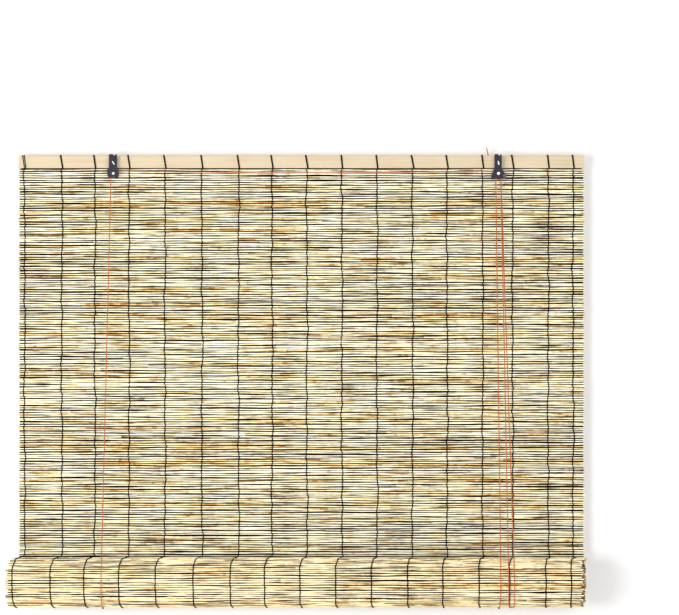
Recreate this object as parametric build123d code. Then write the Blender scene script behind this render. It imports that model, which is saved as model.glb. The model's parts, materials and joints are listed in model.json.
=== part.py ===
from build123d import *
import math
import os

# Axes: X runs to the viewer's right, Y to the back, Z up.
# The origin lies midway between the two hanging loops, on their common axis.

# Head rail, a planed lath. The bottom rail is cut from the same stock.
rail_length = 1000.0
rail_height = 22.0
rail_depth = 9.0
rail_edge_bevel = 0.8

# Reed mat, from the rail's lower edge down to the roll's axis
mat_drop = 728.0
reed_pitch = 4.1
reed_depth = 4.0
reed_neck_depth = 1.7
reed_size_shares = (1.0, 0.86, 1.1, 0.94, 1.14, 0.9, 1.06)
mat_clearance = 0.3
gap_count = 16
gap_height = 0.9
gap_bay_count = 7
gap_thread_margin = 6.0

# Warp threads, and the lashings that tie the mat to the rail
thread_place_shares = (
    -0.980, -0.848, -0.731, -0.610, -0.483, -0.352, -0.223, -0.104, 0.019,
    0.143, 0.267, 0.393, 0.515, 0.641, 0.747, 0.873, 0.961,
)
thread_width = 1.2
thread_depth = 0.8
lashing_depth = 0.8
lashing_slant = 3.0

# Roll: one mat wound in a spiral, with its outer turn slipped to the left
roll_radius = 46.0
turn_gap = 0.35
turn_inset = 0.2
outer_turn_shift = -12.0
inner_turn_shift = -2.0
core_clearance = 0.3
turn_sides = 16
ring_sides = 8
ring_seat = 0.05
ring_start_share = 0.016

# Pulley brackets, each folded from one sheet
sheet = 1.0
fold_rise = 2.2
left_axle_share = -0.664
right_axle_share = 0.695
axle_drop = 10.2
screw_rise = 8.3
notch_width = 3.4
notch_offset = 2.3
notch_floor = 2.4
bracket_corner = 2.2
left_tab = (-7.8, 5.8)
left_body_margins = (3.9, 2.4)
left_shoulder_drop = 2.5
left_skirt = 6.6
right_tab = (-6.5, 5.8)
right_body_margins = (5.4, 5.5)
right_shoulder_drop = 13.0
right_skirt = 8.5

# Grooved wheels, and the cord that they carry
cord_diameter = 2.0
cord_section_share = 0.886
wheel_cord_radius = 4.5
rim_lip = 2.0
groove_clearance = 0.2
groove_side_clearance = 0.7
wheel_flange = 0.8
side_clearance = 0.3
running_clearance = 0.06

# Rivets and screws
axle_radius = 1.6
rivet_head_inset = 1.5
rivet_head_height = 1.0
rivet_head_bevel = 0.7
rivet_fit = 0.05
screw_radius = 1.6
screw_head_radius = 3.7
screw_head_height = 1.5
screw_head_bevel = 0.7
screw_bite = 6.5
screw_slot_width = 1.6
screw_slot_depth = 0.8
left_slot_angle = 58.0
right_slot_angle = 76.0
hole_clearance = 0.2

# Cord lock
cam_radius = 4.0
cam_pin_radius = 1.2
cam_throw = 2.0
cam_drop = 6.0
cam_clearance = 0.4
cam_tooth_count = 7
cam_tooth_depth = 0.5
cam_tooth_arc = 100.0

# Cords: how far each leans sideways on its way down, and where it ends
cord_clearance = 0.3
cord_lead = 0.5
cord_break = 0.1
arc_slack = 0.2
arc_run_share = 0.45
traverse_sag = 4.0
left_cord_lean = -10.9
right_cord_lean = 2.5
pull_leans = (7.2, 17.4)
pull_loop_drop = 41.0
left_end_lean = 7.5
right_end_lean = -13.3
left_end_height = 18.0
right_end_points = ((0.0, 0.0), (0.0, 24.5), (-4.6, 37.0))
staple_crown = 5.0
staple_wire = 0.8
staple_bite = 5.0
staple_rise = 12.0

cut_overrun = 5.0

# Worked out from the sizes above
cord_radius = cord_diameter / 2
half_rail = rail_length / 2
rivet_head_radius = wheel_cord_radius - rivet_head_inset
groove_bottom_radius = wheel_cord_radius - cord_radius - groove_clearance
groove_offset = cord_radius + cord_break / 2
groove_half = groove_offset + cord_radius + groove_side_clearance
wheel_width = 2 * (groove_half + wheel_flange)
wheel_radius = wheel_cord_radius + rim_lip
left_body = (-wheel_radius - left_body_margins[0], wheel_radius + left_body_margins[1])
right_body = (-wheel_radius - right_body_margins[0], wheel_radius + right_body_margins[1])
loop_radius = wheel_width / 2 + side_clearance
cheek_face = loop_radius + sheet

rail_front = cheek_face
rail_back = rail_front + rail_depth
rail_top = cheek_face - fold_rise
rail_bottom = rail_top - rail_height
mat_y = rail_front + rail_depth / 2
mat_front = mat_y - reed_depth / 2
mat_back = mat_y + reed_depth / 2
mat_top = rail_bottom - lashing_depth - mat_clearance
axle_z = rail_bottom - axle_drop
screw_z = rail_bottom + screw_rise
left_axle_x = left_axle_share * half_rail
right_axle_x = right_axle_share * half_rail
thread_places = [share * half_rail for share in thread_place_shares]

turn_pitch = reed_depth + turn_gap
roll_y = mat_back - roll_radius
roll_z = rail_bottom - mat_drop
core_radius = math.hypot(rail_height, rail_depth) / 2 + core_clearance
bight_radius = roll_radius + cord_clearance + cord_radius
bight_round = bight_radius - arc_slack
back_cord_y = rail_back + cord_radius + cord_break
full_turn = 2 * math.pi


def box(x, y, z):
    """A box between the low and high value of each pair."""
    size = [high - low for low, high in (x, y, z)]
    centre = [(high + low) / 2 for low, high in (x, y, z)]
    return Pos(*centre) * Box(*size)


def prism_x(points, low, high):
    """A closed (y, z) outline drawn out along X."""
    face = make_face(Polyline(*[(low, y, z) for y, z in points], close=True))
    return extrude(face, amount=high - low, dir=(1, 0, 0))


def prism_y(points, low, high):
    """A closed (x, z) outline drawn out along Y."""
    face = make_face(Polyline(*[(x, low, z) for x, z in points], close=True))
    return extrude(face, amount=high - low, dir=(0, 1, 0))


def cylinder_y(x, z, radius, low, high):
    """A round bar along Y."""
    return Pos(x, (low + high) / 2, z) * Rot(90, 0, 0) * Cylinder(radius, high - low)


def turned_y(x, z, profile):
    """A body of revolution about an axis along Y, from (radius, y) points."""
    face = make_face(Polyline(*[(r, y, 0) for r, y in profile], close=True))
    return Pos(x, 0, z) * revolve(face, Axis.Y)


def head_rail():
    rail = box((-half_rail, half_rail), (rail_front, rail_back), (rail_bottom, rail_top))
    return chamfer(rail.edges().filter_by(Axis.X), rail_edge_bevel)


def rail_lashings():
    half = thread_width / 2
    top = rail_top + lashing_depth
    bottom = rail_bottom - lashing_depth
    front = rail_front - lashing_depth
    back = rail_back + lashing_depth
    loops = []
    for x in thread_places:
        high = x - lashing_slant / 2
        low = x + lashing_slant / 2
        slant = [(high - half, top), (high + half, top), (low + half, bottom), (low - half, bottom)]
        loop = prism_y(slant, front, back)
        inside = box(
            (high - lashing_slant, low + lashing_slant),
            (rail_front, rail_back),
            (rail_bottom, rail_top),
        )
        loops.append(loop - inside)
    return Compound(children=loops)


def reed_edges():
    """Heights of the joints between reeds, from the rail down to the roll's axis."""
    bottom = roll_z + mat_clearance
    count = round((mat_top - bottom) / reed_pitch)
    sizes = [reed_size_shares[i % len(reed_size_shares)] for i in range(count)]
    unit = (mat_top - bottom) / sum(sizes)
    edges = [mat_top]
    for size in sizes:
        edges.append(edges[-1] - size * unit)
    return edges


def reed_mat():
    edges = reed_edges()
    neck = reed_neck_depth / 2
    crest = reed_depth / 2
    front, back = [], []
    for high, low in zip(edges, edges[1:]):
        middle = (high + low) / 2
        front += [(mat_y - neck, high), (mat_y - crest, middle)]
        back += [(mat_y + neck, high), (mat_y + crest, middle)]
    front.append((mat_y - neck, edges[-1]))
    back.append((mat_y + neck, edges[-1]))
    wall = prism_x(front + back[::-1], -half_rail, half_rail)
    joints = edges[1:-1]
    bays = list(zip(thread_places, thread_places[1:]))
    slots = []
    for i in range(gap_count):
        joint = joints[i * (len(joints) - 1) // (gap_count - 1)]
        low, high = bays[i * gap_bay_count % len(bays)]
        slots.append(
            box(
                (low + gap_thread_margin, high - gap_thread_margin),
                (mat_front, mat_back),
                (joint - gap_height / 2, joint + gap_height / 2),
            )
        )
    return wall - slots


def warp_threads():
    half = thread_width / 2
    front = mat_front - thread_depth
    second_turn = roll_radius - turn_pitch + turn_gap
    nip = math.sqrt(second_turn**2 - (front - mat_clearance - roll_y) ** 2)
    strips = []
    for x in thread_places:
        across = (x - half, x + half)
        strips.append(box(across, (front, mat_front), (roll_z + nip, mat_top)))
        strips.append(box(across, (mat_back, mat_back + thread_depth), (roll_z + mat_clearance, mat_top)))
    return Compound(children=strips)


def turn_radius(angle):
    """Outside of the wound mat. The angle starts at the roll's back and runs down and forward."""
    return roll_radius - turn_pitch * angle / full_turn


def roll_point(radius, angle):
    return (roll_y + radius * math.cos(angle), roll_z - radius * math.sin(angle))


def turn_angles(start, end):
    """Even steps round the roll, the same on every turn so that the turns run parallel."""
    step = full_turn / turn_sides
    count = math.floor((end - start) / step)
    return [start + i * step for i in range(count + 1)]


def reed_roll():
    """Two prisms of one spiral: the ridged outer turn and the plainer turns inside it."""
    neck = (reed_depth - reed_neck_depth) / 2
    inside = reed_depth - turn_inset
    count = round(full_turn * (roll_radius - reed_depth) / reed_pitch)
    step = full_turn / count
    ridges = []
    for i in range(count):
        start = i * step
        middle = start + step / 2
        ridges.append(roll_point(turn_radius(start) - neck, start))
        ridges.append(roll_point(turn_radius(middle), middle))
    ridges.append(roll_point(turn_radius(full_turn) - neck, full_turn))
    lining = [roll_point(turn_radius(a) - inside, a) for a in turn_angles(0, full_turn)]
    outer_turn = prism_x(
        ridges + lining[::-1], outer_turn_shift - half_rail, outer_turn_shift + half_rail
    )

    last = full_turn * (roll_radius - inside - core_radius) / turn_pitch
    angles = turn_angles(full_turn, last)
    outside = [roll_point(turn_radius(a) - turn_inset, a) for a in angles]
    lining = [roll_point(turn_radius(a) - inside, a) for a in angles]
    inner_turns = prism_x(
        outside + lining[::-1], inner_turn_shift - half_rail, inner_turn_shift + half_rail
    )
    return outer_turn + inner_turns


def roll_threads():
    """Thread bands round the outer turn, from under the hanging mat to just short of it in front."""
    stretch = 1 / math.cos(math.pi / ring_sides)
    crest = (turn_radius(full_turn) + turn_gap + ring_seat + thread_depth) * stretch
    start = full_turn * ring_start_share
    end = full_turn - math.acos((mat_front - thread_depth - mat_clearance - roll_y) / crest)
    angles = [start + i * (end - start) / ring_sides for i in range(ring_sides + 1)]
    inside = [roll_point((turn_radius(a) + ring_seat) * stretch, a) for a in angles]
    outside = [roll_point((turn_radius(a) + ring_seat + thread_depth) * stretch, a) for a in angles]
    half = thread_width / 2
    rings = []
    for x in thread_places:
        place = x + outer_turn_shift
        rings.append(prism_x(inside + outside[::-1], place - half, place + half))
    return Compound(children=rings)


def bottom_rail():
    """The lath in the roll's core, turned so that one corner bears on the innermost turn."""
    last = full_turn * (roll_radius - reed_depth + turn_inset - core_radius) / turn_pitch
    corner = math.degrees(math.atan2(rail_height, rail_depth))
    lath = Box(rail_length, rail_depth, rail_height)
    lath = chamfer(lath.edges().filter_by(Axis.X), rail_edge_bevel)
    turn = -math.degrees(last) - corner
    return Pos(inner_turn_shift, roll_y, roll_z) * Rot(turn, 0, 0) * lath


def bracket(axle_x, tab, body, shoulder_drop, skirt):
    """Two cheeks and the fold between them, cut to one outline seen from the front."""
    foot = axle_z - skirt
    ring = Circle(cheek_face) - Circle(loop_radius)
    fold = ring & Pos(0, cheek_face / 2) * Rectangle(2 * cheek_face, cheek_face)
    leg = Pos(0, foot / 2) * Rectangle(sheet, -foot)
    section = fold + Pos(loop_radius + sheet / 2, 0) * leg
    section += Pos(-loop_radius - sheet / 2, 0) * leg
    strip = extrude(Plane.YZ * section, amount=body[1] - body[0])
    strip = Pos(axle_x + body[0], 0, 0) * strip

    shoulder = rail_bottom - shoulder_drop
    corners = [
        (tab[0], cheek_face), (tab[1], cheek_face), (tab[1], rail_bottom), (body[1], shoulder),
        (body[1], foot), (body[0], foot), (body[0], shoulder), (tab[0], rail_bottom),
    ]
    outline = make_face(Polyline(*[(axle_x + x, z) for x, z in corners], close=True))
    feet = [v for v in outline.vertices() if abs(v.Y - foot) < sheet]
    outline = chamfer(feet, bracket_corner)
    blank = extrude(Plane.XZ * outline, amount=cheek_face, both=True)

    housing = strip & blank
    middle = axle_x + (tab[0] + tab[1]) / 2 + notch_offset
    housing -= box(
        (middle - notch_width / 2, middle + notch_width / 2),
        (-cheek_face, cheek_face),
        (notch_floor, cheek_face + cut_overrun),
    )
    housing -= cylinder_y(axle_x, axle_z, axle_radius + rivet_fit, -cheek_face, cheek_face)
    return housing - cylinder_y(axle_x, screw_z, screw_radius + hole_clearance, -cheek_face, cheek_face)


def left_bracket():
    return bracket(left_axle_x, left_tab, left_body, left_shoulder_drop, left_skirt)


def cam_place():
    """Centre of the cam's pin: the cam hangs from it, just clear of the cords."""
    x = right_axle_x + wheel_cord_radius + cord_radius + cam_clearance + cam_radius
    return x, axle_z - cam_drop + cam_throw


def right_bracket():
    housing = bracket(right_axle_x, right_tab, right_body, right_shoulder_drop, right_skirt)
    x, z = cam_place()
    return housing - cylinder_y(x, z, cam_pin_radius + rivet_fit, -cheek_face, cheek_face)


def bracket_screws():
    """Slotted screws through both cheeks, driven into the rail."""
    screws = []
    for x, angle in ((left_axle_x, left_slot_angle), (right_axle_x, right_slot_angle)):
        crown = -cheek_face - screw_head_height
        shank = cylinder_y(x, screw_z, screw_radius, -cheek_face, rail_front + screw_bite)
        head = bevelled_head(x, screw_z, screw_head_radius, screw_head_height, screw_head_bevel)
        slot = Box(2 * screw_head_radius, 2 * screw_slot_depth, screw_slot_width)
        screws.append(shank + head - Pos(x, crown, screw_z) * Rot(0, -angle, 0) * slot)
    return Compound(children=screws)


def bevelled_head(x, z, radius, height, bevel):
    """A low cone on the front cheek."""
    crown = -cheek_face - height
    return turned_y(x, z, [(0, crown), (radius - bevel, crown), (radius, -cheek_face), (0, -cheek_face)])


def rivet(x, z, radius):
    """A shank through both cheeks, headed in front and ground flush behind."""
    grow = radius / axle_radius
    shank = cylinder_y(x, z, radius, -cheek_face, cheek_face)
    return shank + bevelled_head(x, z, rivet_head_radius * grow, rivet_head_height, rivet_head_bevel)


def axle_rivets():
    return Compound(children=[rivet(x, axle_z, axle_radius) for x in (left_axle_x, right_axle_x)])


def cam_pin():
    x, z = cam_place()
    return rivet(x, z, cam_pin_radius)


def wheel(x):
    """One wide groove that takes two cords side by side, so that one pattern serves both brackets."""
    half = wheel_width / 2
    bore = axle_radius + running_clearance
    profile = [
        (bore, -half), (wheel_radius, -half), (wheel_radius, -groove_half),
        (groove_bottom_radius, -groove_half), (groove_bottom_radius, groove_half),
        (wheel_radius, groove_half), (wheel_radius, half), (bore, half),
    ]
    return turned_y(x, axle_z, profile)


def left_wheel():
    return wheel(left_axle_x)


def right_wheel():
    return wheel(right_axle_x)


def lock_cam():
    """An eccentric disc, toothed where it bites the cords."""
    x, pin_z = cam_place()
    z = pin_z - cam_throw
    half = wheel_width / 2
    cam = cylinder_y(x, z, cam_radius, -half, half)

    def rim_point(radius, degrees):
        angle = math.radians(degrees)
        return (x + radius * math.cos(angle), z + radius * math.sin(angle))

    step = cam_tooth_arc / cam_tooth_count
    first = 180 - cam_tooth_arc / 2
    for i in range(cam_tooth_count):
        start = first + i * step
        middle = start + step / 2
        notch = [
            rim_point(cam_radius, start),
            rim_point(cam_radius - cam_tooth_depth, middle),
            rim_point(cam_radius, start + step),
            rim_point(cam_radius + cam_tooth_depth, middle),
        ]
        cam -= prism_y(notch, -half, half)
    return cam - cylinder_y(x, pin_z, cam_pin_radius + running_clearance, -half, half)


def cord_tube(name, points, radii=()):
    """A plain tube along straight runs joined by tangent arcs."""
    path = FilletPolyline(*points, radius=list(radii)) if radii else Line(*points)
    # a square of the round cord's area keeps the long thin tubes light
    side = cord_diameter * cord_section_share
    section = Plane(origin=path @ 0, z_dir=path % 0) * Rectangle(side, side)
    tube = sweep(section, path=path)
    whole = tube.volume / (section.area * path.length)
    rounds = [round(radius, 1) for radius in radii]
    print(name, "length", round(path.length, 1), "radii", rounds, "volume share", round(whole, 4))
    return tube


def shortened(start, end):
    """A straight run, held just short of the stretches that it joins."""
    start, end = Vector(*start), Vector(*end)
    step = (end - start).normalized() * cord_break
    return start + step, end - step


def wheel_exit(axle_x, side, groove):
    return (axle_x + side * wheel_cord_radius, groove, axle_z - cord_lead)


def roll_touch(x, groove):
    """Where a tight cord from a groove first meets the circle of the bights, in front."""
    rise = axle_z - cord_lead - roll_z
    reach = groove - roll_y
    angle = math.atan2(rise, reach) + math.acos(bight_radius / math.hypot(rise, reach))
    return (x, roll_y + bight_radius * math.cos(angle), roll_z + bight_radius * math.sin(angle))


def below_touch(touch, groove, depth=None, height=None):
    """The point further along a tight cord's line, at a given depth or height."""
    slope = (groove - touch[1]) / (axle_z - cord_lead - touch[2])
    if height is None:
        height = touch[2] + (depth - touch[1]) / slope
    return (touch[0], touch[1] + (height - touch[2]) * slope, height)


def left_touch():
    return roll_touch(left_axle_x - wheel_cord_radius + left_cord_lean, groove_offset)


def right_touch():
    return roll_touch(right_axle_x - wheel_cord_radius + right_cord_lean, -groove_offset)


def traverse_cord():
    top = axle_z + wheel_cord_radius
    middle = ((left_axle_x + right_axle_x) / 2, groove_offset, top - traverse_sag)
    corners = [
        (left_axle_x - wheel_cord_radius, groove_offset, top),
        middle,
        (right_axle_x + wheel_cord_radius, groove_offset, top),
    ]
    half_turn = math.atan2(traverse_sag, middle[0] - corners[0][0])
    gentle = arc_run_share * (middle[0] - corners[0][0]) / math.tan(half_turn)
    start = wheel_exit(left_axle_x, -1, groove_offset)
    end = wheel_exit(right_axle_x, 1, groove_offset)
    radii = (wheel_cord_radius, gentle, wheel_cord_radius)
    return cord_tube("traverse_cord", [start, *corners, end], radii)


def right_cord_wrap():
    top = axle_z + wheel_cord_radius
    low, high = right_axle_x - wheel_cord_radius, right_axle_x + wheel_cord_radius
    points = [
        wheel_exit(right_axle_x, -1, -groove_offset),
        (low, -groove_offset, top),
        (high, -groove_offset, top),
        wheel_exit(right_axle_x, 1, -groove_offset),
    ]
    tight = wheel_cord_radius - cord_break
    return cord_tube("right_cord_wrap", points, (tight, tight))


def wheel_cords():
    """The two stretches that lie over the wheels."""
    return Compound(children=[traverse_cord(), right_cord_wrap()])


def left_lift_cord():
    start = wheel_exit(left_axle_x, -1, groove_offset)
    return cord_tube("left_lift_cord", shortened(start, left_touch()))


def right_lift_cord():
    start = wheel_exit(right_axle_x, -1, -groove_offset)
    return cord_tube("right_lift_cord", shortened(start, right_touch()))


def bight(name, touch, groove):
    """The half turn in which the roll hangs, from the front of the roll round to its back."""
    floor = roll_z - bight_radius
    back = roll_y + bight_radius
    points = [
        touch,
        below_touch(touch, groove, height=floor),
        (touch[0], back, floor),
        (touch[0], back, roll_z),
    ]
    return cord_tube(name, points, (bight_round, bight_round))


def lift_cord_bights():
    left = bight("left bight", left_touch(), groove_offset)
    right = bight("right bight", right_touch(), -groove_offset)
    return Compound(children=[left, right])


def back_run(name, touch, lean):
    start = (touch[0], roll_y + bight_radius, roll_z)
    end = (touch[0] + lean, back_cord_y, rail_bottom)
    return cord_tube(name, shortened(start, end))


def left_back_cord():
    return back_run("left_back_cord", left_touch(), left_end_lean)


def right_back_cord():
    return back_run("right_back_cord", right_touch(), right_end_lean)


def left_cord_end():
    x = left_touch()[0] + left_end_lean
    points = [(x, back_cord_y, rail_bottom), (x, back_cord_y, rail_bottom + left_end_height)]
    return cord_tube("left_cord_end", points)


def right_cord_end():
    """The loose end, which stands up past the rail and leans over."""
    x = right_touch()[0] + right_end_lean
    points = [(x + across, back_cord_y, rail_bottom + up) for across, up in right_end_points]
    runs = [Vector(*b) - Vector(*a) for a, b in zip(points, points[1:])]
    turn = math.radians(runs[0].get_angle(runs[1]))
    gentle = arc_run_share * min(run.length for run in runs) / math.tan(turn / 2)
    return cord_tube("right_cord_end", points, (gentle,))


def cord_staples():
    staples = []
    z = rail_bottom + staple_rise
    wire = staple_wire / 2
    crown_y = back_cord_y + cord_radius + cord_break
    for x in (left_touch()[0] + left_end_lean, right_touch()[0] + right_end_lean):
        half = staple_crown / 2
        staple = box((x - half, x + half), (crown_y, crown_y + staple_wire), (z - wire, z + wire))
        for leg_x in (x - half, x + half - staple_wire):
            staple += box(
                (leg_x, leg_x + staple_wire), (rail_back - staple_bite, crown_y), (z - wire, z + wire)
            )
        staples.append(staple)
    return Compound(children=staples)


def pull_touch(strand):
    groove = (-groove_offset, groove_offset)[strand]
    return roll_touch(right_axle_x + wheel_cord_radius + pull_leans[strand], groove), groove


def pull_strand(name, strand):
    touch, groove = pull_touch(strand)
    return cord_tube(name, shortened(wheel_exit(right_axle_x, 1, groove), touch))


def left_pull_strand():
    return pull_strand("left_pull_strand", 0)


def right_pull_strand():
    return pull_strand("right_pull_strand", 1)


def pull_loop():
    """The end of the pull cord: over the front of the roll, round and back up."""
    front = roll_y - bight_radius
    floor = roll_z - pull_loop_drop
    (left, left_groove), (right, right_groove) = pull_touch(0), pull_touch(1)
    points = [
        left,
        below_touch(left, left_groove, depth=front),
        (left[0], front, floor),
        (right[0], front, floor),
        below_touch(right, right_groove, depth=front),
        right,
    ]
    tight = (right[0] - left[0]) / 2 - cord_break
    return cord_tube("pull_loop", points, (bight_round, tight, tight, bight_round))


pieces = [
    head_rail, rail_lashings, reed_mat, warp_threads, left_bracket, right_bracket, bracket_screws,
    axle_rivets, left_wheel, right_wheel, lock_cam, cam_pin, cord_staples,
    wheel_cords, left_lift_cord, right_lift_cord, lift_cord_bights,
    left_back_cord, right_back_cord, left_cord_end, right_cord_end, left_pull_strand,
    right_pull_strand, pull_loop, reed_roll, roll_threads, bottom_rail,
]

os.makedirs("parts", exist_ok=True)
for piece in pieces:
    export_step(piece(), f"parts/{piece.__name__}.step")
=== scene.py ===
import json
import math
import random

import bpy
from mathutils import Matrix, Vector


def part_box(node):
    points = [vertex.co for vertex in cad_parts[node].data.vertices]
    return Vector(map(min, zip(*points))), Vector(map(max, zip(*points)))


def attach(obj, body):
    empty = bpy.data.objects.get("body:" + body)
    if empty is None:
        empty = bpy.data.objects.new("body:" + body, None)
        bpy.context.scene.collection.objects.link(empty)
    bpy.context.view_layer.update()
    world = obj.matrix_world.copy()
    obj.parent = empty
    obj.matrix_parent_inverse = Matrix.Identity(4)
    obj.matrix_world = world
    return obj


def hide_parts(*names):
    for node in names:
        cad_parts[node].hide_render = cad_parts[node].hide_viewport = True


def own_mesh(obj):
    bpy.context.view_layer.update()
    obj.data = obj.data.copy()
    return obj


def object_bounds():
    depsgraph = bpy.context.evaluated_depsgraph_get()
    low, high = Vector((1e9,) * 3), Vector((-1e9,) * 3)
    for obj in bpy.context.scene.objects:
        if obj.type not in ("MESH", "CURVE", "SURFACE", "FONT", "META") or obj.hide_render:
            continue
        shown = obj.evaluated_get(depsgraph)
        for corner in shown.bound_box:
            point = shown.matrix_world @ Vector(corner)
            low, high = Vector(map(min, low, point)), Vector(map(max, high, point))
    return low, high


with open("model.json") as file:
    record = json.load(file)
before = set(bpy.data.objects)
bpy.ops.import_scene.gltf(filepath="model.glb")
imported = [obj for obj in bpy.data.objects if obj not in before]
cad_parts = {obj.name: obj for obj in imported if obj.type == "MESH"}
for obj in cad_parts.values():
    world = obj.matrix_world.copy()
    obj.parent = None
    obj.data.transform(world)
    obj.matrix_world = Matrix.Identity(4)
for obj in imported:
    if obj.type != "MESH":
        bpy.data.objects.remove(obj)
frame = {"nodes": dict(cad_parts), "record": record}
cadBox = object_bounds()
scene = bpy.context.scene
joints = {joint["name"]: joint for joint in frame["record"]["behaviour"]["joints"]}

# Places that several pieces share, in metres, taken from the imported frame
railLow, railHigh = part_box("head_rail")
matLow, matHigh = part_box("reed_mat")
matY = (matLow.y + matHigh.y) / 2
halfRail = (railHigh.x - railLow.x) / 2
rollCentre = Vector(joints["roll_turn"]["pos_m"])
leftAxle = Vector(joints["left_wheel_spin"]["pos_m"])
rightAxle = Vector(joints["right_wheel_spin"]["pos_m"])
threadShares = (
    -0.980, -0.848, -0.731, -0.610, -0.483, -0.352, -0.223, -0.104, 0.019,
    0.143, 0.267, 0.393, 0.515, 0.641, 0.747, 0.873, 0.961,
)
threadPlaces = [share * halfRail for share in threadShares]
print("frame loaded, box", [round(v, 3) for v in (*cadBox[0], *cadBox[1])])


# Small helpers for node trees
def addNode(tree, kind, place=(0, 0), **settings):
    node = tree.nodes.new(kind)
    node.location = place
    for key, value in settings.items():
        setattr(node, key, value)
    return node


def setInputs(node, **values):
    for key, value in values.items():
        node.inputs[key].default_value = value


def newMaterial(name):
    material = bpy.data.materials.new(name)
    material.use_nodes = True
    tree = material.node_tree
    tree.nodes.clear()
    output = addNode(tree, "ShaderNodeOutputMaterial", (900, 0))
    shader = addNode(tree, "ShaderNodeBsdfPrincipled", (600, 0))
    tree.links.new(shader.outputs["BSDF"], output.inputs["Surface"])
    return material, tree, shader


def newGroup(name, inputs, outputs):
    tree = bpy.data.node_groups.new(name, "ShaderNodeTree")
    for label, kind, value in inputs:
        socket = tree.interface.new_socket(label, in_out="INPUT", socket_type=kind)
        socket.default_value = value
    for label, kind in outputs:
        tree.interface.new_socket(label, in_out="OUTPUT", socket_type=kind)
    return tree, addNode(tree, "NodeGroupInput", (-900, 0)), addNode(tree, "NodeGroupOutput", (900, 0))


def placeGroup(tree, group, place, **values):
    node = addNode(tree, "ShaderNodeGroup", place, node_tree=group)
    setInputs(node, **values)
    return node


def math2(tree, operation, first, second, place=(0, 0), clamp=False):
    node = addNode(tree, "ShaderNodeMath", place, operation=operation, use_clamp=clamp)
    for socket, value in zip(node.inputs, (first, second)):
        if isinstance(value, (int, float)):
            socket.default_value = value
        else:
            tree.links.new(value, socket)
    return node.outputs[0]


def mixColour(tree, factor, first, second, place=(0, 0), blend="MIX"):
    node = addNode(tree, "ShaderNodeMix", place, data_type="RGBA", blend_type=blend, clamp_factor=True)
    for socket, value in ((node.inputs[0], factor), (node.inputs[6], first), (node.inputs[7], second)):
        if isinstance(value, (int, float)):
            socket.default_value = value
        elif isinstance(value, tuple):
            socket.default_value = (*value, 1)
        else:
            tree.links.new(value, socket)
    return node.outputs[2]


def rampNode(tree, factor, stops, place=(0, 0)):
    node = addNode(tree, "ShaderNodeValToRGB", place)
    while len(node.color_ramp.elements) < len(stops):
        node.color_ramp.elements.new(0.5)
    for element, (position, colour) in zip(node.color_ramp.elements, stops):
        element.position = position
        element.color = (*colour, 1)
    tree.links.new(factor, node.inputs[0])
    return node.outputs[0]


# Shared effects
def makeStreakGroup():
    # fine fibres that run along X, with a seed that sets each reed or lath apart
    tree, start, end = newGroup(
        "fibreStreaks",
        [
            ("Seed", "NodeSocketFloat", 0.0),
            ("Length", "NodeSocketFloat", 30.0),
            ("Fineness", "NodeSocketFloat", 900.0),
        ],
        [("Broad", "NodeSocketFloat"), ("Fine", "NodeSocketFloat")],
    )
    link = tree.links.new
    seedSpacing = 61.7  # wide enough for neighbours to share no pattern
    coords = addNode(tree, "ShaderNodeTexCoord", (-900, 300))
    split = addNode(tree, "ShaderNodeSeparateXYZ", (-700, 300))
    link(coords.outputs["Object"], split.inputs[0])
    along = math2(tree, "MULTIPLY", split.outputs[0], start.outputs["Length"], (-500, 300))
    shift = math2(tree, "MULTIPLY", start.outputs["Seed"], seedSpacing, (-500, 120))
    broadAt = addNode(tree, "ShaderNodeCombineXYZ", (-300, 250))
    link(along, broadAt.inputs[0])
    link(shift, broadAt.inputs[1])
    broad = addNode(tree, "ShaderNodeTexNoise", (-100, 250))
    setInputs(broad, Scale=1.0, Detail=3.0, Roughness=0.62)
    link(broadAt.outputs[0], broad.inputs["Vector"])
    depth = math2(tree, "MULTIPLY", split.outputs[1], start.outputs["Fineness"], (-500, -60))
    height = math2(tree, "MULTIPLY", split.outputs[2], start.outputs["Fineness"], (-500, -240))
    fineAt = addNode(tree, "ShaderNodeCombineXYZ", (-300, -60))
    link(along, fineAt.inputs[0])
    link(depth, fineAt.inputs[1])
    link(height, fineAt.inputs[2])
    fine = addNode(tree, "ShaderNodeTexNoise", (-100, -60))
    setInputs(fine, Scale=1.0, Detail=2.0, Roughness=0.6)
    link(fineAt.outputs[0], fine.inputs["Vector"])
    link(broad.outputs["Fac"], end.inputs["Broad"])
    link(fine.outputs["Fac"], end.inputs["Fine"])
    return tree


def makeSpeckGroup():
    # small soft specks and larger cloudy patches, for wood, yarn, paint, metal and plastic
    tree, start, end = newGroup(
        "specksAndPatches",
        [("Speck Scale", "NodeSocketFloat", 900.0), ("Patch Scale", "NodeSocketFloat", 60.0)],
        [("Specks", "NodeSocketFloat"), ("Patches", "NodeSocketFloat")],
    )
    coords = addNode(tree, "ShaderNodeTexCoord", (-700, 200))
    for scale, outlet, row in (("Speck Scale", "Specks", 200), ("Patch Scale", "Patches", -100)):
        cloud = addNode(tree, "ShaderNodeTexNoise", (-300, row))
        setInputs(cloud, Detail=2.0, Roughness=0.55)
        tree.links.new(coords.outputs["Object"], cloud.inputs["Vector"])
        tree.links.new(start.outputs[scale], cloud.inputs["Scale"])
        tree.links.new(cloud.outputs["Fac"], end.inputs[outlet])
    return tree


streakGroup = makeStreakGroup()
speckGroup = makeSpeckGroup()


def attributeValue(tree, name, place):
    return addNode(tree, "ShaderNodeAttribute", place, attribute_name=name).outputs["Fac"]


def scaledValue(tree, value, gain, base, place):
    # value times gain, plus base
    result = math2(tree, "MULTIPLY_ADD", value, gain, place)
    result.node.inputs[2].default_value = base
    return result


def addBump(tree, shader, height, strength, distance, place):
    bump = addNode(tree, "ShaderNodeBump", place)
    setInputs(bump, Strength=strength, Distance=distance)
    tree.links.new(height, bump.inputs["Height"])
    tree.links.new(bump.outputs[0], shader.inputs["Normal"])


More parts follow.
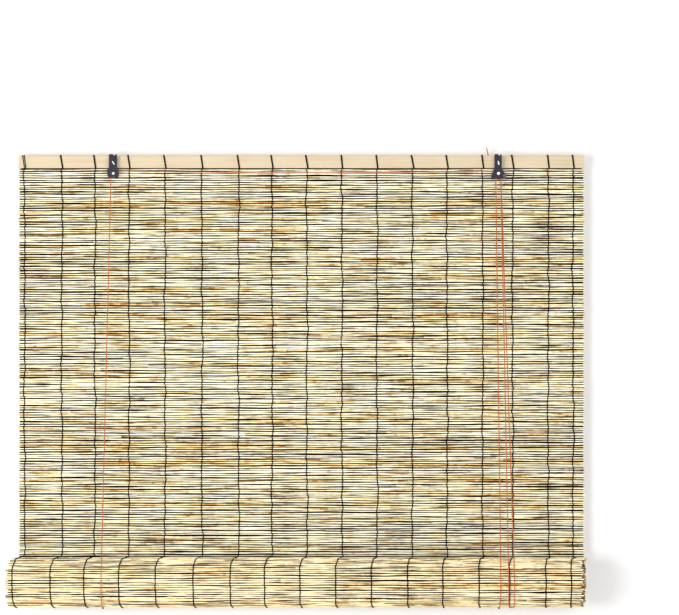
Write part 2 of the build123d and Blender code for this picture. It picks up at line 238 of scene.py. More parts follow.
# Finishes
reedFinish = dict(
    patchLength=14.0, fineness=1500.0, seedLean=0.2, toneHold=0.4, gritty=0.14,
    seamLength=15.0, seamSeed=3.7, seamFrom=0.40, seamLeast=0.08, seamGrowth=2.3, seamEdge=0.1,
    roughness=0.5, roughSpread=0.3, bump=0.25, bumpDepth=0.0004, specular=0.35,
    # seam is the colour of the painted shade between reeds; joint darkens the reeds' joints and, as dust with
    # painted shade, the ends of the inner turns; cut is the end grain
    seam=(0.014, 0.008, 0.003), joint=(0.30, 0.15, 0.05), cut=(0.50, 0.33, 0.15),
)
hangingTones = [
    (0.25, (0.64, 0.51, 0.37)), (0.34, (0.87, 0.76, 0.57)), (0.42, (0.99, 0.94, 0.74)),
    (0.53, (0.98, 0.90, 0.61)), (0.60, (0.90, 0.74, 0.38)), (0.66, (0.77, 0.53, 0.24)),
    (0.74, (0.50, 0.26, 0.08)),
]
rolledTones = [
    (0.30, (0.76, 0.58, 0.38)), (0.38, (0.92, 0.77, 0.49)), (0.44, (0.99, 0.875, 0.59)),
    (0.54, (0.98, 0.815, 0.465)), (0.60, (0.90, 0.68, 0.33)), (0.66, (0.78, 0.50, 0.21)),
    (0.74, (0.55, 0.27, 0.08)),
]


def heldStops(stops, hold):
    # each tone lasts part of the way to its neighbours, so that its patches end sharply
    held = []
    for i, (place, colour) in enumerate(stops):
        before = stops[max(i - 1, 0)][0]
        after = stops[min(i + 1, len(stops) - 1)][0]
        held.append((place - (place - before) * hold, colour))
        held.append((place + (after - place) * hold, colour))
    return held


def makeReed(name, tones):
    finish = reedFinish
    material, tree, shader = newMaterial(name)
    link = tree.links.new
    seed = attributeValue(tree, "reedSeed", (-1500, 300))
    streaks = placeGroup(
        tree, streakGroup, (-1250, 200), Length=finish["patchLength"], Fineness=finish["fineness"]
    )
    link(seed, streaks.inputs["Seed"])
    lean = scaledValue(tree, seed, finish["seedLean"], -finish["seedLean"] / 2, (-1250, 420))
    tone = math2(tree, "ADD", streaks.outputs["Broad"], lean, (-1050, 350))
    colour = rampNode(tree, tone, heldStops(tones, finish["toneHold"]), (-850, 350))
    grit = math2(tree, "SUBTRACT", streaks.outputs["Fine"], 0.5, (-1050, 100))  # about nought
    lift = scaledValue(tree, grit, finish["gritty"], 1.0, (-850, 100))
    colour = mixColour(tree, 1.0, colour, lift, (-600, 300), "MULTIPLY")
    # darker at joints, and at the inner turns' ends with dust and painted shade
    jointAndEndShadeShare = attributeValue(tree, "nodeMark", (-850, -80))
    colour = mixColour(tree, jointAndEndShadeShare, colour, finish["joint"], (-400, 250))
    cutShare = attributeValue(tree, "cutEnd", (-650, -160))
    colour = mixColour(tree, cutShare, colour, finish["cut"], (-200, 220))
    # painted shade: the shadowed seam between neighbours is coloured near-black, and it swells and dies away
    # along each reed
    seamNoise = placeGroup(tree, streakGroup, (-1250, -250), Length=finish["seamLength"])
    link(math2(tree, "ADD", seed, finish["seamSeed"], (-1450, -250)), seamNoise.inputs["Seed"])
    reach = math2(tree, "SUBTRACT", seamNoise.outputs["Broad"], finish["seamFrom"], (-1050, -250), True)
    width = scaledValue(tree, reach, finish["seamGrowth"], finish["seamLeast"], (-850, -250))
    begin = math2(tree, "SUBTRACT", 1.0, width, (-650, -250))
    seamMap = addNode(tree, "ShaderNodeMapRange", (-400, -250), interpolation_type="SMOOTHSTEP")
    link(attributeValue(tree, "seam", (-650, -420)), seamMap.inputs["Value"])
    link(begin, seamMap.inputs["From Min"])
    link(math2(tree, "ADD", begin, finish["seamEdge"], (-600, -520)), seamMap.inputs["From Max"])
    link(mixColour(tree, seamMap.outputs[0], colour, finish["seam"], (0, 150)), shader.inputs["Base Color"])
    roughLeast = finish["roughness"] - finish["roughSpread"] / 2
    rough = scaledValue(tree, streaks.outputs["Fine"], finish["roughSpread"], roughLeast, (200, -100))
    link(rough, shader.inputs["Roughness"])
    addBump(tree, shader, streaks.outputs["Fine"], finish["bump"], finish["bumpDepth"], (300, -300))
    # no sheen where the seams' shade is painted, so they stay dark
    sheen = scaledValue(tree, seamMap.outputs[0], -finish["specular"], finish["specular"], (200, 0))
    link(sheen, shader.inputs["Specular IOR Level"])  # none in the seams
    return material


lathFinish = dict(
    tones=[(0.32, (0.52, 0.39, 0.228)), (0.5, (0.575, 0.467, 0.306)), (0.7, (0.61, 0.505, 0.343))],
    grainLength=7.0, grainFineness=420.0, grainSeed=0.4, speckScale=260.0, patchScale=14.0,
    grainShare=0.55, cloudShare=0.45, roughness=0.55, roughSpread=0.2, bump=0.15, bumpDepth=0.0005,
)


def makeLath(name):
    finish = lathFinish
    material, tree, shader = newMaterial(name)
    streaks = placeGroup(
        tree, streakGroup, (-900, 200), Length=finish["grainLength"], Fineness=finish["grainFineness"],
        Seed=finish["grainSeed"],
    )
    scales = {"Speck Scale": finish["speckScale"], "Patch Scale": finish["patchScale"]}
    specks = placeGroup(tree, speckGroup, (-900, -100), **scales)
    grain = math2(tree, "MULTIPLY", streaks.outputs["Fine"], finish["grainShare"], (-650, 200))
    cloud = math2(tree, "MULTIPLY", specks.outputs["Patches"], finish["cloudShare"], (-650, 0))
    tone = math2(tree, "ADD", grain, cloud, (-450, 150))
    colour = rampNode(tree, tone, finish["tones"], (-250, 150))
    tree.links.new(colour, shader.inputs["Base Color"])
    roughLeast = finish["roughness"] - finish["roughSpread"] / 2
    rough = scaledValue(tree, specks.outputs["Specks"], finish["roughSpread"], roughLeast, (0, -50))
    tree.links.new(rough, shader.inputs["Roughness"])
    addBump(tree, shader, streaks.outputs["Fine"], finish["bump"], finish["bumpDepth"], (200, -250))
    return material


yarnFinish = dict(
    speckScale=1600.0, patchScale=45.0, speckShare=0.6, patchShare=0.4, darkTo=0.35, lightFrom=0.65,
    bump=0.4, bumpDepth=0.0003, roughLeast=0.7, roughSpread=0.2,
)


def makeYarn(name, dark, light, specular):
    # twisted thread or cord: the strands are modelled, the fibres are here
    finish = yarnFinish
    material, tree, shader = newMaterial(name)
    link = tree.links.new
    scales = {"Speck Scale": finish["speckScale"], "Patch Scale": finish["patchScale"]}
    specks = placeGroup(tree, speckGroup, (-700, 100), **scales)
    tone = math2(tree, "MULTIPLY_ADD", specks.outputs["Specks"], finish["speckShare"], (-500, 150))
    patches = math2(tree, "MULTIPLY", specks.outputs["Patches"], finish["patchShare"], (-700, -150))
    link(patches, tone.node.inputs[2])
    colour = rampNode(tree, tone, [(finish["darkTo"], dark), (finish["lightFrom"], light)], (-250, 150))
    link(colour, shader.inputs["Base Color"])
    addBump(tree, shader, specks.outputs["Specks"], finish["bump"], finish["bumpDepth"], (100, -200))
    rough = scaledValue(
        tree, specks.outputs["Specks"], finish["roughSpread"], finish["roughLeast"], (100, 0)
    )
    link(rough, shader.inputs["Roughness"])
    setInputs(shader, **{"Specular IOR Level": specular})
    return material


hardFinish = dict(
    speckScale=1500.0, patchScale=180.0, edgeRadius=0.0005, tintSpread=0.3, tintLeast=0.85, roughSpread=0.2,
)


def makeHard(name, base, worn, metallic, roughness, wear, specular=0.5):
    # paint, steel, plastic and cast metal, with edges rubbed towards the worn colour
    finish = hardFinish
    material, tree, shader = newMaterial(name)
    link = tree.links.new
    scales = {"Speck Scale": finish["speckScale"], "Patch Scale": finish["patchScale"]}
    specks = placeGroup(tree, speckGroup, (-900, 0), **scales)
    geometry = addNode(tree, "ShaderNodeNewGeometry", (-900, 350))
    soft = addNode(tree, "ShaderNodeBevel", (-900, 550), samples=4)
    setInputs(soft, Radius=finish["edgeRadius"])
    facing = addNode(tree, "ShaderNodeVectorMath", (-700, 450), operation="DOT_PRODUCT")
    link(geometry.outputs["Normal"], facing.inputs[0])
    link(soft.outputs[0], facing.inputs[1])
    edge = math2(tree, "SUBTRACT", 1.0, facing.outputs["Value"], (-500, 450), True)
    rubbed = math2(tree, "MULTIPLY", edge, specks.outputs["Patches"], (-300, 400))
    rubbed = math2(tree, "MULTIPLY", rubbed, wear, (-100, 400), True)
    tint = scaledValue(
        tree, specks.outputs["Specks"], finish["tintSpread"], finish["tintLeast"], (-500, 100)
    )
    colour = mixColour(tree, 1.0, base, tint, (-300, 150), "MULTIPLY")
    link(mixColour(tree, rubbed, colour, worn, (100, 250)), shader.inputs["Base Color"])
    roughLeast = roughness - finish["roughSpread"] / 2
    rough = scaledValue(tree, specks.outputs["Patches"], finish["roughSpread"], roughLeast, (100, 0))
    link(rough, shader.inputs["Roughness"])
    link(soft.outputs[0], shader.inputs["Normal"])
    setInputs(shader, Metallic=metallic, **{"Specular IOR Level": specular})
    return material


def coverColour(material, mask, colour):
    # lays a plain colour over the finish where the mask is 1
    tree = material.node_tree
    shader = tree.nodes["Principled BSDF"]
    under = shader.inputs["Base Color"].links[0].from_socket
    tree.links.new(mixColour(tree, mask, under, colour, (400, 500)), shader.inputs["Base Color"])


screwLook = dict(
    steel=dict(base=(0.045, 0.045, 0.055), worn=(0.2, 0.2, 0.22), metallic=0.6, roughness=0.4, wear=1.5),
    rise=0.0083, slotAngles=((leftAxle, 58), (rightAxle, 76)), halfWidth=0.0008, halfLength=0.0036,
    # painted highlight: the glint along each driver slot
    slot=(0.95, 0.95, 0.95),
)


def makeScrewFinish(name):
    # blued steel, with a painted highlight of bright metal along its driver slot
    look = screwLook
    material = makeHard(name, **look["steel"])
    tree = material.node_tree
    geometry = addNode(tree, "ShaderNodeNewGeometry", (-1100, 900))
    place = addNode(tree, "ShaderNodeSeparateXYZ", (-900, 900))
    tree.links.new(geometry.outputs["Position"], place.inputs[0])
    slotGlints = []
    for row, (axle, angle) in enumerate(look["slotAngles"]):
        at = 900 - 200 * row
        along = (math.cos(math.radians(angle)), -math.sin(math.radians(angle)))
        across = (-along[1], along[0])
        x = math2(tree, "SUBTRACT", place.outputs[0], axle.x, (-700, at))
        z = math2(tree, "SUBTRACT", place.outputs[2], railLow.z + look["rise"], (-700, at - 80))
        spans = []
        for (a, b), half in ((along, look["halfLength"]), (across, look["halfWidth"])):
            part = math2(tree, "MULTIPLY", z, b, (-500, at))
            far = math2(tree, "MULTIPLY_ADD", x, a, (-350, at))
            tree.links.new(part, far.node.inputs[2])
            size = math2(tree, "ABSOLUTE", far, 0.0, (-200, at))
            spans.append(math2(tree, "LESS_THAN", size, half, (-50, at)))
        slotGlints.append(math2(tree, "MULTIPLY", spans[0], spans[1], (100, at)))
    # the slots' painted glint goes over the dark head
    coverColour(material, math2(tree, "ADD", slotGlints[0], slotGlints[1], (250, 800), True), look["slot"])
    return material


rivetLook = dict(
    steel=dict(base=(0.86, 0.86, 0.87), worn=(0.95, 0.95, 0.95), metallic=1.0, roughness=0.28, wear=1.0),
    bevel=(0.05, 0.05, 0.06), crownFacing=-0.9,  # Y of the normal, below which it is the flat crown
)


def makeRivetFinish(name):
    # the flat crown is bright; the bevel round it is painted dark, as painted shade
    material = makeHard(name, **rivetLook["steel"])
    tree = material.node_tree
    geometry = addNode(tree, "ShaderNodeNewGeometry", (-100, 700))
    parts = addNode(tree, "ShaderNodeSeparateXYZ", (100, 700))
    tree.links.new(geometry.outputs["True Normal"], parts.inputs[0])
    # painted shade on every face that does not look straight out from the crown
    bevel = math2(tree, "GREATER_THAN", parts.outputs[1], rivetLook["crownFacing"], (300, 700))
    coverColour(material, bevel, rivetLook["bevel"])
    return material


threadYarn = dict(dark=(0.004, 0.003, 0.002), light=(0.016, 0.010, 0.006), specular=0.05)
cordYarn = dict(dark=(0.38, 0.095, 0.028), light=(0.58, 0.19, 0.065), specular=0.12)
slateLook = dict(
    base=(0.019, 0.017, 0.027), worn=(0.16, 0.15, 0.18), metallic=0.0, roughness=0.55, wear=2.5,
    specular=0.25,
)
zincLook = dict(base=(0.46, 0.46, 0.49), worn=(0.7, 0.7, 0.72), metallic=1.0, roughness=0.4, wear=1.0)
wheelLook = dict(base=(0.68, 0.66, 0.60), worn=(0.80, 0.78, 0.72), metallic=0.0, roughness=0.45, wear=1.0)
camLook = dict(base=(0.12, 0.115, 0.125), worn=(0.4, 0.4, 0.42), metallic=0.8, roughness=0.45, wear=2.0)

hangingReed = makeReed("hangingReed", hangingTones)
rolledReed = makeReed("rolledReed", rolledTones)
lathWood = makeLath("lathWood")
darkThread = makeYarn("darkThread", **threadYarn)
terracottaCord = makeYarn("terracottaCord", **cordYarn)
slatePaint = makeHard("slatePaint", **slateLook)
rivetSteel = makeRivetFinish("rivetSteel")
slottedScrew = makeScrewFinish("slottedScrew")
dullZinc = makeHard("dullZinc", **zincLook)
wheelPlastic = makeHard("wheelPlastic", **wheelLook)
camMetal = makeHard("camMetal", **camLook)
print("finishes made")


# Mesh building
class Store:
    def __init__(self, *marks):
        self.points = []
        self.faces = []
        self.marks = {mark: [] for mark in marks}

    def ring(self, points, **values):
        first = len(self.points)
        self.points.extend(points)
        for mark, row in self.marks.items():
            value = values.get(mark, 0.0)
            row.extend(value if isinstance(value, list) else [value] * len(points))
        return list(range(first, first + len(points)))

    def bridge(self, a, b):
        for i in range(len(a)):
            j = (i + 1) % len(a)
            self.faces.append((a[i], a[j], b[j], b[i]))

    def build(self, name, material, sharp=None):
        mesh = bpy.data.meshes.new(name)
        mesh.from_pydata([tuple(p) for p in self.points], [], self.faces)
        for mark, row in self.marks.items():
            layer = mesh.attributes.new(mark, "FLOAT", "POINT")
            layer.data.foreach_set("value", row)
        mesh.polygons.foreach_set("use_smooth", [True] * len(mesh.polygons))
        if sharp:
            mesh.set_sharp_from_angle(angle=sharp)
        mesh.materials.append(material)
        piece = bpy.data.objects.new(name, mesh)
        scene.collection.objects.link(piece)
        return piece


def tubeAlong(store, path, radius, sides, closed=False):
    # a tube carried along its path with no twist of its own
    count = len(path)
    side = None
    rings = []
    for i in range(count):
        before = path[i - 1] if closed or i else path[0]
        after = path[(i + 1) % count] if closed or i < count - 1 else path[-1]
        ahead = (after - before).normalized()
        if side is None:
            side = ahead.orthogonal().normalized()
        side = (side - ahead * side.dot(ahead)).normalized()
        other = ahead.cross(side)
        points = []
        for k in range(sides):
            angle = 2 * math.pi * k / sides
            points.append(path[i] + (side * math.cos(angle) + other * math.sin(angle)) * radius)
        rings.append(store.ring(points))
    for a, b in zip(rings, rings[1:]):
        store.bridge(a, b)
    if closed:
        store.bridge(rings[-1], rings[0])
    else:
        store.faces.append(tuple(reversed(rings[0])))
        store.faces.append(tuple(rings[-1]))


# Reeds
waverShape = dict(paces=((5, 9), (14, 24), (45, 70)), shares=(0.35, 0.35, 0.3))  # paces in radians a metre
reedShape = dict(
    pitch=0.0041, sizes=(1.0, 0.86, 1.1, 0.94, 1.14, 0.9, 1.06), fullness=(0.62, 0.92), depth=1.1, sides=8,
    pieces=(1, 2, 2, 3), cutRange=(0.08, 0.92), tip=(0.55, 0.92), uneven=0.0012,
    wander=0.0007, driftGain=1.5, thickWaver=0.06, ringStep=0.022, plainStep=6,
    jointEvery=(0.16, 0.42), jointMargin=0.02, jointSwell=0.05, jointMarks=(0.0, 0.1, 0.25, 0.6),
    jointProfile=((-0.009, 0.0, 0.0), (-0.002, 1.0, 0.7), (0.0015, 0.8, 1.0), (0.006, 0.0, 0.0)),
    # how far in from each end the inner turns darken, with dust and painted shade from the outer turn
    endDustAndShade=((0.0, 0.9), (0.006, 0.75), (0.013, 0.0)),
    bore=0.55, boreDepth=0.004, webInset=0.0006, sharpFrom=math.radians(60),
    # painted shade: this seam value gives a surface the full seam shade colour
    fullShade=2.0,  # seam value past every reed's own, always in shadow
)


def wanderer(rng, amount):
    # a slow waver made of three sines
    paces = [rng.uniform(*span) for span in waverShape["paces"]]
    waves = [(pace, share, rng.uniform(0, 2 * math.pi)) for pace, share in zip(paces, waverShape["shares"])]
    return lambda x: amount * sum(share * math.sin(pace * x + phase) for pace, share, phase in waves)


def closeEnd(store, ring, inward, seed, hollow):
    # a cut end: hollow, as a dry reed is, where it can be seen
    shape = reedShape
    corners = [store.points[i] for i in ring]
    rim = store.ring(corners, reedSeed=seed, cutEnd=1.0)
    if not hollow:
        store.faces.append(tuple(rim[::-1] if inward > 0 else rim))
        return
    middle = sum(corners, Vector()) / len(corners)
    lip = [middle + (p - middle) * shape["bore"] for p in corners]
    floor = [p + Vector((inward * shape["boreDepth"], 0, 0)) for p in lip]
    mouth = store.ring(lip, reedSeed=seed, cutEnd=1.0)
    well = store.ring(floor, reedSeed=seed, seam=shape["fullShade"])
    # the floor of the hollow is painted in full shade
    loops = [rim, mouth, well]
    if inward < 0:
        loops = [loop[::-1] for loop in loops]
    store.bridge(loops[1], loops[0])
    store.bridge(loops[2], loops[1])
    store.faces.append(tuple(loops[2][::-1]))


def reedStops(rng, start, end, plain):
    # where a reed has rings, with its swelling and its stain there
    shape = reedShape
    step = shape["ringStep"] * (shape["plainStep"] if plain else 1)
    count = max(3, round((end - start) / step))
    stops = {start + (end - start) * i / count: (0.0, 0.0) for i in range(count + 1)}
    x = start + rng.uniform(shape["jointMargin"], shape["jointEvery"][1])
    while x < end - shape["jointMargin"] and not plain:
        dark = rng.choice(shape["jointMarks"])
        for shift, swell, share in shape["jointProfile"]:
            stops[x + shift] = (swell * shape["jointSwell"], share * dark)
        x += rng.uniform(*shape["jointEvery"])
    # the ends of the inner turns are darkened by dust and by painted shade from the outer turn
    for reach, dark in shape["endDustAndShade"] if plain else ():  # dusty ends of the inner turns
        stops[start + reach] = (0.0, dark)
        stops[end - reach] = (0.0, dark)
    return stops


def growReed(store, rng, place, out, beside, radius, left, right, uneven, plain=False):
    # one row: a few reeds end to end, each thicker at its butt than at its tip
    shape = reedShape
    drift = wanderer(rng, shape["wander"] * shape["driftGain"])
    lean = wanderer(rng, shape["wander"])
    thick = wanderer(rng, shape["thickWaver"])
    left += rng.uniform(-1, 1) * uneven
    right += rng.uniform(-1, 1) * uneven
    pieces = 1 if plain else rng.choice(shape["pieces"])
    cuts = sorted(rng.uniform(*shape["cutRange"]) for i in range(pieces - 1))
    ends = [left] + [left + (right - left) * cut for cut in cuts] + [right]
    turns = [2 * math.pi * k / shape["sides"] for k in range(shape["sides"])]
    # how near each ring side lies to the neighbouring rows, which sets where the seams' painted shade lies
    seams = [abs(math.sin(a)) for a in turns]
    for start, end in zip(ends, ends[1:]):
        seed = rng.random()
        tip = rng.uniform(*shape["tip"])
        flip = rng.random() < 0.5
        rings = []
        for x, (swell, dark) in sorted(reedStops(rng, start, end, plain).items()):
            along = (x - start) / (end - start)
            along = 1 - along if flip else along
            size = radius * (1 - (1 - tip) * along**2 + thick(x) + swell)
            middle = Vector((x, 0, 0)) + place + beside * drift(x) + out * lean(x)
            points = [
                middle + (out * (math.cos(a) * shape["depth"]) + beside * math.sin(a)) * size for a in turns
            ]
            rings.append(store.ring(points, reedSeed=seed, seam=seams, nodeMark=dark))
        for a, b in zip(rings, rings[1:]):
            store.bridge(a, b)
        closeEnd(store, rings[0], 1, seed, start == left)
        closeEnd(store, rings[-1], -1, seed, end == right)


def addShadeWeb(store, low, high, left, right):
    # painted shade: a single dark sheet behind the reeds' fronts stands in for the shadowed neck between two
    # rows
    corners = [Vector((left, 0, 0)) + low, Vector((right, 0, 0)) + low]
    corners += [Vector((right, 0, 0)) + high, Vector((left, 0, 0)) + high]
    ring = store.ring(corners, seam=reedShape["fullShade"])
    store.faces.append(tuple(ring))


def rowEdges():
    # heights of the joints between reeds, as in the solid
    count = round((matHigh.z - matLow.z) / reedShape["pitch"])
    sizes = [reedShape["sizes"][i % len(reedShape["sizes"])] for i in range(count)]
    unit = (matHigh.z - matLow.z) / sum(sizes)
    edges = [matHigh.z]
    for size in sizes:
        edges.append(edges[-1] - size * unit)
    return edges


def squashUp(piece):
    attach(piece, "rail")
    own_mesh(piece)


matShape = dict(seed=11, backWaver=0.0003, underFront=0.0012, underDrop=0.0001, underInset=0.004)


def makeMat():
    shape = matShape
    rng = random.Random(shape["seed"])
    store = Store("reedSeed", "seam", "nodeMark", "cutEnd")
    edges = rowEdges()
    # painted shade: a dark sheet in the shadowed gap under the rail
    under = Vector((0, railLow.y + shape["underFront"], railLow.z - shape["underDrop"]))
    reach = halfRail - shape["underInset"]
    addShadeWeb(store, Vector((0, matY, edges[0])), under, -reach, reach)
    forward, upward = Vector((0, -1, 0)), Vector((0, 0, 1))
    for high, low in zip(edges, edges[1:]):
        radius = (high - low) / 2 * rng.uniform(*reedShape["fullness"])
        back = rng.uniform(-shape["backWaver"], shape["backWaver"])
        place = Vector((0, matY + back, (high + low) / 2))
        growReed(store, rng, place, forward, upward, radius, -halfRail, halfRail, reedShape["uneven"])
        inset = halfRail - reedShape["webInset"] - rng.uniform(0, reedShape["uneven"])
        # a painted shade sheet fills the gap between this row and the one above
        addShadeWeb(store, Vector((0, matY, low)), Vector((0, matY, high)), -inset, inset)
    piece = store.build("hangingReeds", hangingReed, reedShape["sharpFrom"])
    squashUp(piece)
    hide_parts("reed_mat")
    print("hanging reeds", len(edges) - 1, "faces", len(store.faces))


rollShape = dict(
    seed=23, radius=0.046, turnPitch=0.00435, reedRadius=0.00205, fullness=(0.82, 0.95), coreRadius=0.0122,
    clearance=0.0001, firstAngle=0.06, webDepth=1.2, plainFrom=1.05, uneven=0.0026, innerTrim=0.005,
    slip=(  # turns from where the mat joins the roll, and the shift to the right there
        (0.0, 0.0), (0.12, -0.003), (0.25, -0.008), (0.36, -0.012), (0.60, -0.0125), (0.685, -0.009),
        (0.745, -0.001), (0.80, 0.0), (1.0, -0.002), (1.3, -0.002),
    ),
)


def rollOutside(angle):
    return rollShape["radius"] - rollShape["turnPitch"] * angle / (2 * math.pi)


def rollSlip(angle):
    # how far the winding has slipped sideways, eased between the stops
    turns = angle / (2 * math.pi)
    stops = rollShape["slip"]
    for (a, low), (b, high) in zip(stops, stops[1:]):
        if turns < b:
            share = (turns - a) / (b - a)
            share = share * share * (3 - 2 * share)
            return low + (high - low) * share
    return stops[-1][1]


def rollDirections(angle):
    out = Vector((0, math.cos(angle), -math.sin(angle)))
    along = Vector((0, -math.sin(angle), -math.cos(angle)))
    return out, along


def rolledAngles():
    angle = rollShape["firstAngle"]
    angles = []
    while rollOutside(angle) - 2 * rollShape["reedRadius"] > rollShape["coreRadius"]:
        angles.append(angle)
        angle += reedShape["pitch"] / (rollOutside(angle) - rollShape["reedRadius"])
    return angles


def makeRoll():
    shape = rollShape
    rng = random.Random(shape["seed"])
    store = Store("reedSeed", "seam", "nodeMark", "cutEnd")
    angles = rolledAngles()
    inset = halfRail - shape["uneven"]
    # painted shade: dark sheets behind the seams of the outer turn
    for angle, following in zip(angles, angles[1:]):
        if angle < 2 * math.pi:
            low, high = [
                rollCentre + rollDirections(a)[0] * (rollOutside(a) - shape["reedRadius"] * shape["webDepth"])
                for a in (following, angle)
            ]
            addShadeWeb(store, low, high, rollSlip(angle) - inset, rollSlip(angle) + inset)
    for angle in angles:
        out, along = rollDirections(angle)
        radius = shape["reedRadius"] * rng.uniform(*shape["fullness"])
        place = rollCentre + out * (rollOutside(angle) - radius - shape["clearance"])
        plain = angle > shape["plainFrom"] * 2 * math.pi
        left = rollSlip(angle) - halfRail
        right = rollSlip(angle) + halfRail - (shape["innerTrim"] if plain else 0.0)
        growReed(store, rng, place, out, along, radius, left, right, shape["uneven"], plain)
    piece = store.build("rolledReeds", rolledReed, reedShape["sharpFrom"])
    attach(piece, "roll")
    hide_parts("reed_roll")
    print("rolled reeds", len(angles), "faces", len(store.faces))


makeMat()
makeRoll()

# Threads
threadShape = dict(
    seed=37, radius=0.0010, sides=4, sway=0.0017, swayPace=2, kink=0.0015, kinkPace=11, twine=0.0003,
    seat=0.94, stand=0.0005, shoulder=0.4, tuck=0.45, nip=0.0085,
)


def makeWarp():
    # two strands that change places at every reed
    shape = threadShape
    rng = random.Random(shape["seed"])
    store = Store()
    edges = rowEdges()
    nipHeight = rollCentre.z + shape["nip"]  # the front strand ends where the mat meets the roll
    for place in threadPlaces:
        sway = wanderer(rng, shape["sway"])
        kink = wanderer(rng, shape["kink"])
        for strand in (0, 1):
            path = []
            for i, (high, low) in enumerate(zip(edges, edges[1:])):
                radius = (high - low) / 2
                middle = (high + low) / 2
                rise = shape["shoulder"] * radius
                face = -1 if i % 2 == strand else 1
                x = place + sway(shape["swayPace"] * middle) + kink(shape["kinkPace"] * middle)
                y = matY + face * (radius * shape["seat"] + shape["stand"])
                path.append(Vector((x - face * shape["twine"], y, middle + rise)))
                path.append(Vector((x + face * shape["twine"], y, middle - rise)))
                path.append(Vector((x, matY + face * radius * shape["tuck"], low)))
            if strand == 0:
                path = [p for p in path if p.z > nipHeight]
            tubeAlong(store, path, shape["radius"], shape["sides"])
    piece = store.build("warpThreads", darkThread)
    squashUp(piece)
    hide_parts("warp_threads")
    print("warp threads, faces", len(store.faces))


rollThreadShape = dict(
    seed=41, firstAngle=0.08, lastGap=0.34, quiver=0.0006, shoulder=0.0009, seam=0.00205, dip=0.0009,
)


def makeRollThreads():
    # they run on from the warp and dip into each seam
    shape = rollThreadShape
    rng = random.Random(shape["seed"])
    store = Store()
    angles = [a for a in rolledAngles() if shape["firstAngle"] < a < 2 * math.pi - shape["lastGap"]]
    for place in threadPlaces:
        quiver = wanderer(rng, shape["quiver"])
        path = []
        for i, angle in enumerate(angles):
            out, along = rollDirections(angle)
            x = place + rollSlip(angle) + quiver(angle)
            twine = threadShape["twine"] * (1 if i % 2 else -1)
            crest = rollCentre + out * (rollOutside(angle) + threadShape["stand"])
            path.append(crest - along * shape["shoulder"] + Vector((x - twine, 0, 0)))
            path.append(crest + along * shape["shoulder"] + Vector((x + twine, 0, 0)))
            path.append(crest + along * shape["seam"] - out * shape["dip"] + Vector((x, 0, 0)))
        tubeAlong(store, path, threadShape["radius"], threadShape["sides"])
    piece = store.build("rollThreads", darkThread)
    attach(piece, "roll")
    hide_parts("roll_threads")
    print("roll threads, faces", len(store.faces))


lashingShape = dict(
    seed=53, radius=0.0008, sides=6, steps=7, lift=0.0001, corner=0.0009, slant=0.0034,
    slantRange=(0.7, 1.25), spread=(0.0007, 0.0006), turns=(-1, 1), firstTurns=(-2.2, 2.0),
)


def lashingLoop(place, lean, turn):
    # one turn of thread round the rail, a little further from its partner at the top
    shape = lashingShape
    gap = shape["radius"] + shape["lift"]
    corner = shape["corner"]
    top, bottom = railHigh.z + gap, railLow.z - gap
    front, back = railLow.y - gap, railHigh.y + gap
    topSpread, bottomSpread = shape["spread"]

    def at(y, z):
        share = (z - bottom) / (top - bottom)
        spread = bottomSpread + share * (topSpread - bottomSpread)
        return Vector((place + lean * (0.5 - share) + turn * spread, y, z))

    span = top - bottom - 2 * corner
    heights = [top - corner - span * i / shape["steps"] for i in range(shape["steps"] + 1)]
    path = [at(front, z) for z in heights]
    path += [at(front + corner, bottom), at(back - corner, bottom)]
    path += [at(back, z) for z in reversed(heights)]
    path += [at(back - corner, top), at(front + corner, top)]
    return path


def makeLashings():
    shape = lashingShape
    rng = random.Random(shape["seed"])
    store = Store()
    for number, place in enumerate(threadPlaces):
        lean = shape["slant"] * rng.uniform(*shape["slantRange"])
        for turn in shape["turns"] if number else shape["firstTurns"]:
            tubeAlong(store, lashingLoop(place, lean, turn), shape["radius"], shape["sides"], closed=True)
    piece = store.build("railLashings", darkThread)
    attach(piece, "rail")
    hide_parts("rail_lashings")
    print("lashings, faces", len(store.faces))


makeWarp()
makeRollThreads()
makeLashings()

# Cords: the routes are those of the solids
cordShape = dict(
    strands=3, strandRadius=0.00056, strandOffset=0.00046, lay=0.0085, sides=5,
    step=0.0014, fewestSteps=8, mostSteps=1024,
    wheelRadius=0.0045, lead=0.0005, groove=0.00105, bightRadius=0.0473, nearPulley=0.012,
    leftLean=-0.0109, rightLean=0.0025, pullLeans=(0.0072, 0.0174), loopDrop=0.041, traverseSag=0.004,
    backStand=0.0011, leftEndLean=0.0075, rightEndLean=-0.0133,
    leftEnd=((0, 0), (0, 0.009), (0, 0.018)), rightEnd=((0, 0), (0, 0.0245), (-0.0046, 0.037)),
    # how closely the smooth line keeps to each point of its route
    traverseHold=(1, 0.6, 1, 1, 1, 0.6, 1), wrapHold=(1, 0.5, 0.5, 1), bightHold=(1, 0.45, 0.5, 1),
    loopHold=(1, 1, 1, 0.7, 0.7, 1, 1, 1),
)


def splinePoints(name, route, weights):
    # reads the smooth line that the route's points control
    curve = bpy.data.curves.new(name + "Line", "CURVE")
    curve.dimensions = "3D"
    spline = curve.splines.new("NURBS")
    spline.points.add(len(route) - 1)
    for point, place, weight in zip(spline.points, route, weights):
        point.co = (*place, weight)
    spline.order_u = 3
    spline.use_endpoint_u = True
    length = sum((b - a).length for a, b in zip(route, route[1:]))
    steps = math.ceil(length / cordShape["step"] / (len(route) - 2))
    spline.resolution_u = min(cordShape["mostSteps"], max(cordShape["fewestSteps"], steps))
    holder = bpy.data.objects.new(name + "Line", curve)
    scene.collection.objects.link(holder)
    depsgraph = bpy.context.evaluated_depsgraph_get()
    mesh = bpy.data.meshes.new_from_object(holder.evaluated_get(depsgraph))
    line = [v.co.copy() for v in mesh.vertices]
    bpy.data.objects.remove(holder)
    bpy.data.curves.remove(curve)
    bpy.data.meshes.remove(mesh)
    return line


